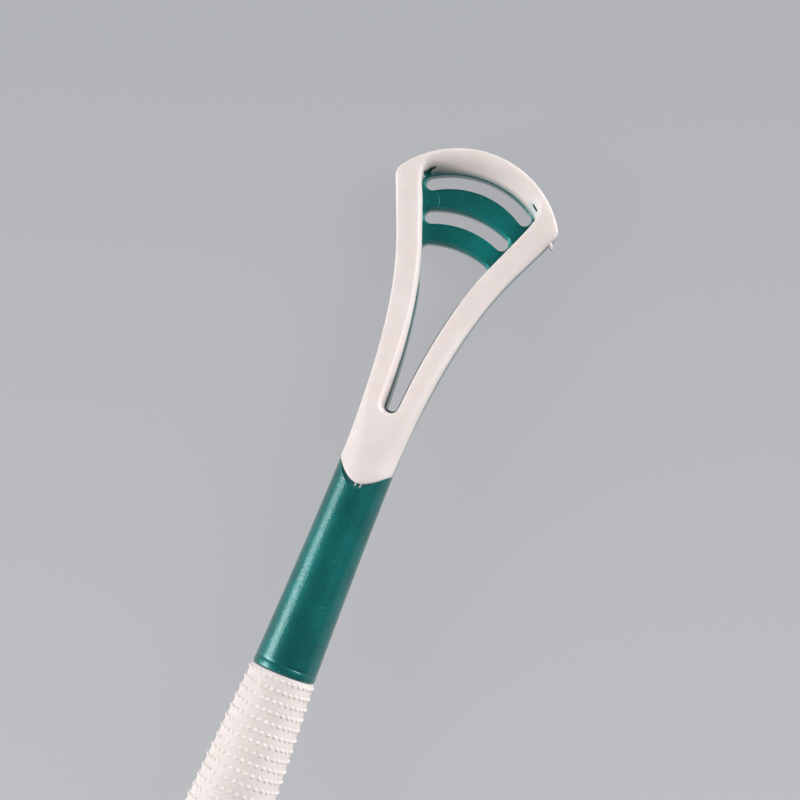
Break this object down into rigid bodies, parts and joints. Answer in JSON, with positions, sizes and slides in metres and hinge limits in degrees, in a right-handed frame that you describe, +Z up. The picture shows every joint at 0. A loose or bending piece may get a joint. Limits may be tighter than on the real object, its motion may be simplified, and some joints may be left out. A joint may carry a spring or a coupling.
{
  "type": "tongue scraper",
  "caption": "Hand-held tongue scraper with a slotted fan-shaped head, a soft raised scraping lip, a round neck and a soft nubbed grip.",
  "frame": {"origin": "under the middle of the tool, on the surface it lies on, at the bottom centre of its bounding box", "axes": "+Y along the handle towards the scraping tip, +Z up out of the white front of the head, X across"},
  "size_m": [0.0352, 0.1808, 0.019],
  "materials": {
    "pearl_plastic": "moulded pearly teal plastic, glossy",
    "soft_head": "moulded white soft elastomer, matte",
    "soft_grip": "moulded white soft elastomer with small nubs, matte"
  },
  "bodies": {
    "root": {"core": "pearl_plastic", "head_skin": "soft_head", "grip": "soft_grip"}
  },
  "joints": []
}
